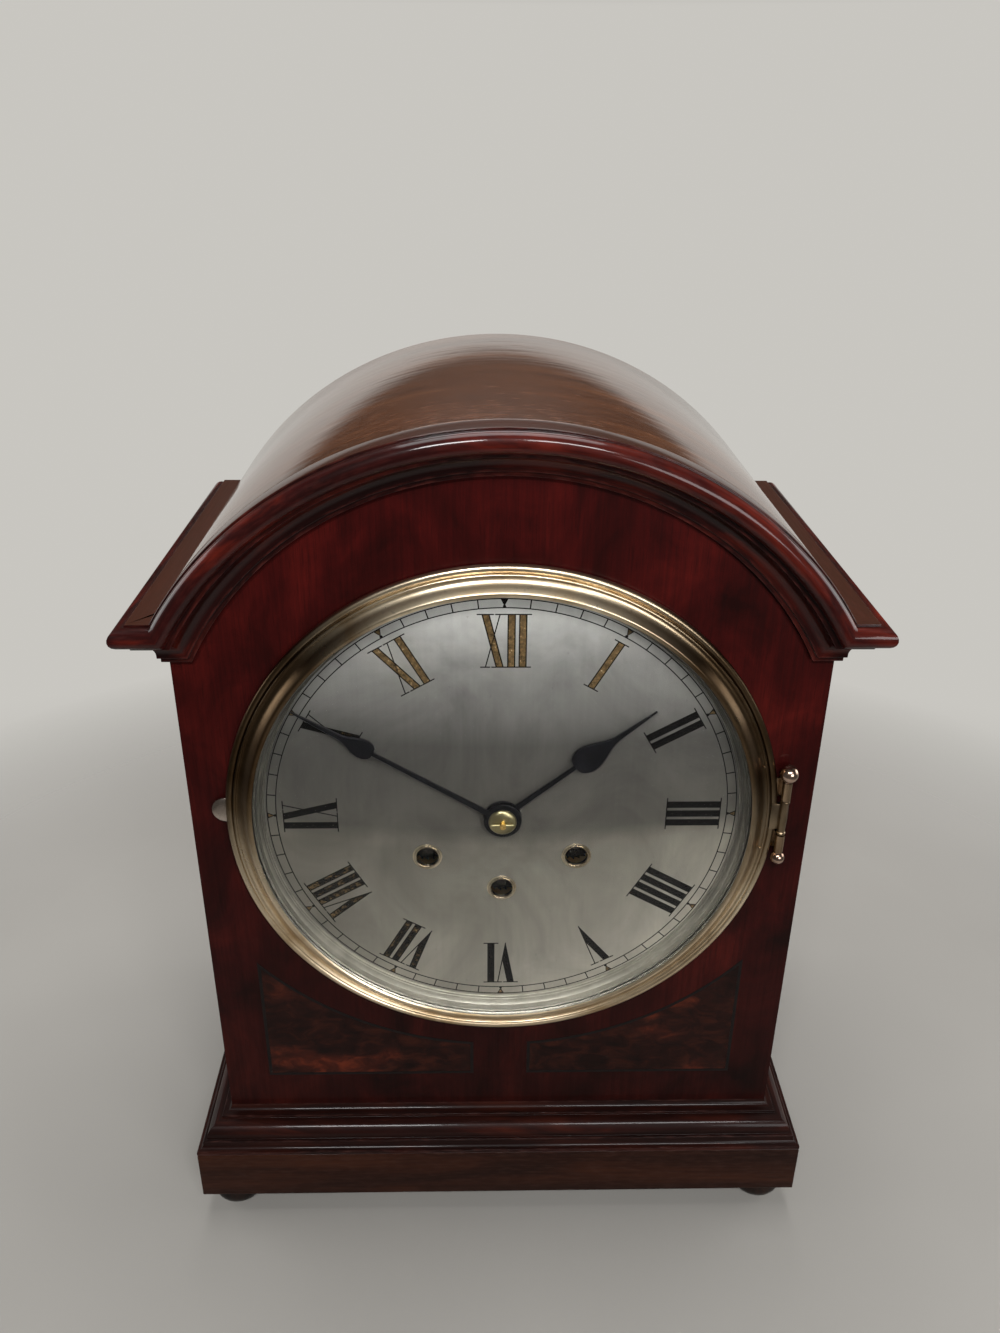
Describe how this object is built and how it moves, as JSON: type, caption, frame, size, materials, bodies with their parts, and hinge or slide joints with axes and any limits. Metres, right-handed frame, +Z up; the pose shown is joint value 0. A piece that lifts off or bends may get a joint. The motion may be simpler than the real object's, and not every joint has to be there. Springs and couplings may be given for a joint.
{
  "type": "arch-top mantel clock",
  "caption": "Break-arch mantel clock in polished mahogany: hinged brass bezel over a silvered dial with Roman numerals, pear hands, striking movement with pendulum, plinth on bun feet.",
  "frame": {"origin": "middle of the clock's box, at the level of the surface that its feet stand on", "axes": "+X to the right as the dial is read, +Y from the dial towards the back, +Z up"},
  "size_m": [0.302, 0.2, 0.4017],
  "materials": {
    "case_mahogany": "french polished mahogany, deep red brown, upright grain",
    "roof_mahogany": "french polished mahogany veneer, browner, grain along the roof",
    "burr_veneer": "polished burr veneer",
    "foot_wood": "dark stained and polished",
    "inner_wood": "plain oiled board",
    "polished_brass": "polished, lightly worn",
    "silvered_brass": "silvered, mottled with age",
    "convex_glass": "clear, convex",
    "blued_steel": "blued nearly black",
    "fitting_brass": "lacquered",
    "movement_brass": "plain rolled plate",
    "wheel_brass": "cut wheels on steel arbors",
    "movement_steel": "bright steel",
    "hammer_steel": "plain steel with a hard face",
    "gong_iron": "black painted casting"
  },
  "bodies": {
    "case": {"bun_feet": "foot_wood", "plinth": "case_mahogany", "base_moulding": "case_mahogany", "cornice": "case_mahogany", "case_front": "case_mahogany", "burr_panels": "burr_veneer", "case_sides": "case_mahogany", "roof_shell": "roof_mahogany", "case_floor": "inner_wood", "seat_board": "inner_wood", "back_door_hinges": "fitting_brass", "dial_ring": "polished_brass", "dial_plate": "silvered_brass", "winding_bushes": "polished_brass", "slip_ring": "silvered_brass", "bezel_hinge_pin": "polished_brass", "front_plate": "movement_brass", "back_plate": "movement_brass", "plate_pillars": "movement_brass", "movement_screws": "movement_steel", "pendulum_cock": "fitting_brass", "gong_block": "gong_iron", "gong_rods": "movement_steel"},
    "bezel": {"bezel_ring": "polished_brass", "bezel_glass": "convex_glass", "bezel_tab": "polished_brass"},
    "door": {"back_door": "inner_wood", "back_door_hinge_leaves": "fitting_brass"},
    "latch": {"back_door_latch": "fitting_brass"},
    "minute_set": {"minute_hand": "blued_steel", "hand_collet": "polished_brass", "cannon_pinion": "movement_steel"},
    "minute_wheel_set": {"minute_wheel": "movement_brass"},
    "hour_set": {"hour_hand": "blued_steel", "hour_wheel": "movement_brass"},
    "going_barrel_set": {"going_barrel": "movement_brass"},
    "going_arbor_set": {"going_arbor": "movement_steel"},
    "intermediate_set": {"intermediate_wheel": "wheel_brass"},
    "centre_set": {"centre_wheel": "wheel_brass", "hand_pin": "movement_steel"},
    "third_set": {"third_wheel": "wheel_brass"},
    "escape_set": {"escape_wheel": "wheel_brass"},
    "pallet_set": {"pallets": "movement_steel"},
    "pendulum": {"pendulum_rod": "movement_steel", "pendulum_bob": "fitting_brass", "suspension_spring": "movement_steel"},
    "nut": {"rating_nut": "fitting_brass"},
    "hour_hammer_set": {"hour_hammer": "hammer_steel"},
    "low_hammer_set": {"low_quarter_hammer": "hammer_steel"},
    "high_hammer_set": {"high_quarter_hammer": "hammer_steel"},
    "strike_barrel_set": {"strike_barrel": "movement_brass"},
    "strike_arbor_set": {"strike_arbor": "movement_steel"},
    "strike_second_set": {"strike_second_wheel": "wheel_brass"},
    "strike_pin_set": {"strike_pin_wheel": "wheel_brass"},
    "strike_fly_set": {"strike_fly": "wheel_brass"},
    "chime_barrel_set": {"chime_barrel": "movement_brass"},
    "chime_arbor_set": {"chime_arbor": "movement_steel"},
    "chime_second_set": {"chime_second_wheel": "wheel_brass"},
    "chime_pin_set": {"chime_pin_wheel": "wheel_brass"},
    "chime_fly_set": {"chime_fly": "wheel_brass"}
  },
  "joints": [
    {"name": "bezel_hinge", "type": "hinge", "parent": "case", "child": "bezel", "pos_m": [0.1205, -0.08685, 0.2284], "axis": [0, 0, 1], "range_deg": [0, 115]},
    {"name": "back_door_hinge", "type": "hinge", "parent": "case", "child": "door", "pos_m": [0.12305, 0.09515, 0.2284], "axis": [0, 0, -1], "range_deg": [0, 110]},
    {"name": "latch_turn", "type": "hinge", "parent": "door", "child": "latch", "pos_m": [-0.1125, 0.09295, 0.1834], "axis": [0, 1, 0], "range_deg": [0, 90]},
    {"name": "minute_hand_turn", "type": "hinge", "parent": "case", "child": "minute_set", "pos_m": [0, -0.07945, 0.2284], "axis": [0, 1, 0], "continuous": true},
    {"name": "minute_wheel_turn", "type": "hinge", "parent": "case", "child": "minute_wheel_set", "pos_m": [0.01697, -0.07145, 0.24537], "axis": [0, 1, 0], "continuous": true},
    {"name": "hour_hand_turn", "type": "hinge", "parent": "case", "child": "hour_set", "pos_m": [0, -0.07945, 0.2284], "axis": [0, 1, 0], "continuous": true},
    {"name": "going_barrel_turn", "type": "hinge", "parent": "case", "child": "going_barrel_set", "pos_m": [0, -0.03945, 0.1889], "axis": [0, 1, 0], "continuous": true},
    {"name": "intermediate_turn", "type": "hinge", "parent": "case", "child": "intermediate_set", "pos_m": [0.00315, -0.03945, 0.20916], "axis": [0, 1, 0], "continuous": true},
    {"name": "centre_turn", "type": "hinge", "parent": "case", "child": "centre_set", "pos_m": [0, -0.03945, 0.2284], "axis": [0, 1, 0], "continuous": true},
    {"name": "third_turn", "type": "hinge", "parent": "case", "child": "third_set", "pos_m": [0.00879, -0.03945, 0.24493], "axis": [0, 1, 0], "continuous": true},
    {"name": "escape_turn", "type": "hinge", "parent": "case", "child": "escape_set", "pos_m": [-0.00001, -0.03945, 0.2598], "axis": [0, 1, 0], "continuous": true},
    {"name": "going_winding", "type": "hinge", "parent": "case", "child": "going_arbor_set", "pos_m": [0, -0.03945, 0.1889], "axis": [0, 1, 0], "continuous": true},
    {"name": "pendulum_swing", "type": "hinge", "parent": "case", "child": "pendulum", "pos_m": [0, 0.00055, 0.2731], "axis": [0, 1, 0], "range_deg": [-4, 4]},
    {"name": "pallet_rock", "type": "hinge", "parent": "case", "child": "pallet_set", "pos_m": [-0.00001, -0.01945, 0.2731], "axis": [0, 1, 0], "range_deg": [-4.01, 4.01]},
    {"name": "rating_nut_turn", "type": "hinge", "parent": "pendulum", "child": "nut", "pos_m": [0, 0.00055, 0.1094], "axis": [0, 0, 1], "continuous": true},
    {"name": "strike_winding", "type": "hinge", "parent": "case", "child": "strike_arbor_set", "pos_m": [-0.033, -0.03945, 0.2062], "axis": [0, 1, 0], "continuous": true},
    {"name": "strike_barrel_turn", "type": "hinge", "parent": "case", "child": "strike_barrel_set", "pos_m": [-0.033, -0.03945, 0.2062], "axis": [0, 1, 0], "continuous": true},
    {"name": "strike_second_turn", "type": "hinge", "parent": "case", "child": "strike_second_set", "pos_m": [-0.04476, -0.03945, 0.22299], "axis": [0, 1, 0], "continuous": true},
    {"name": "strike_pin_turn", "type": "hinge", "parent": "case", "child": "strike_pin_set", "pos_m": [-0.03929, -0.03945, 0.23803], "axis": [0, 1, 0], "continuous": true},
    {"name": "strike_fly_turn", "type": "hinge", "parent": "case", "child": "strike_fly_set", "pos_m": [-0.03679, -0.03945, 0.25221], "axis": [0, 1, 0], "continuous": true},
    {"name": "chime_winding", "type": "hinge", "parent": "case", "child": "chime_arbor_set", "pos_m": [0.033, -0.03945, 0.2062], "axis": [0, 1, 0], "continuous": true},
    {"name": "chime_barrel_turn", "type": "hinge", "parent": "case", "child": "chime_barrel_set", "pos_m": [0.033, -0.03945, 0.2062], "axis": [0, 1, 0], "continuous": true},
    {"name": "chime_second_turn", "type": "hinge", "parent": "case", "child": "chime_second_set", "pos_m": [0.04476, -0.03945, 0.22299], "axis": [0, 1, 0], "continuous": true},
    {"name": "chime_pin_turn", "type": "hinge", "parent": "case", "child": "chime_pin_set", "pos_m": [0.03929, -0.03945, 0.23803], "axis": [0, 1, 0], "continuous": true},
    {"name": "chime_fly_turn", "type": "hinge", "parent": "case", "child": "chime_fly_set", "pos_m": [0.03679, -0.03945, 0.25221], "axis": [0, 1, 0], "continuous": true},
    {"name": "hour_hammer_lift", "type": "hinge", "parent": "case", "child": "hour_hammer_set", "pos_m": [0.034, 0.02455, 0.1724], "axis": [0, -1, 0], "range_deg": [0, 12]},
    {"name": "low_quarter_hammer_lift", "type": "hinge", "parent": "case", "child": "low_hammer_set", "pos_m": [0.034, 0.02455, 0.1724], "axis": [0, -1, 0], "range_deg": [0, 12]},
    {"name": "high_quarter_hammer_lift", "type": "hinge", "parent": "case", "child": "high_hammer_set", "pos_m": [0.034, 0.02455, 0.1724], "axis": [0, -1, 0], "range_deg": [0, 12]}
  ],
  "couplings": [
    {"joint": "minute_wheel_turn", "follows": "minute_hand_turn", "ratio": -0.33333},
    {"joint": "hour_hand_turn", "follows": "minute_hand_turn", "ratio": 0.083333},
    {"joint": "centre_turn", "follows": "third_turn", "ratio": -0.083333},
    {"joint": "escape_turn", "follows": "third_turn", "ratio": -11},
    {"joint": "intermediate_turn", "follows": "third_turn", "ratio": 0.012255},
    {"joint": "going_barrel_turn", "follows": "third_turn", "ratio": -0.0017021},
    {"joint": "pallet_rock", "follows": "pendulum_swing", "ratio": 1},
    {"joint": "strike_second_turn", "follows": "strike_pin_turn", "ratio": -0.11111},
    {"joint": "strike_barrel_turn", "follows": "strike_pin_turn", "ratio": 0.015432},
    {"joint": "strike_fly_turn", "follows": "strike_pin_turn", "ratio": -8},
    {"joint": "chime_second_turn", "follows": "chime_pin_turn", "ratio": -0.11111},
    {"joint": "chime_barrel_turn", "follows": "chime_pin_turn", "ratio": 0.015432},
    {"joint": "chime_fly_turn", "follows": "chime_pin_turn", "ratio": -8}
  ]
}
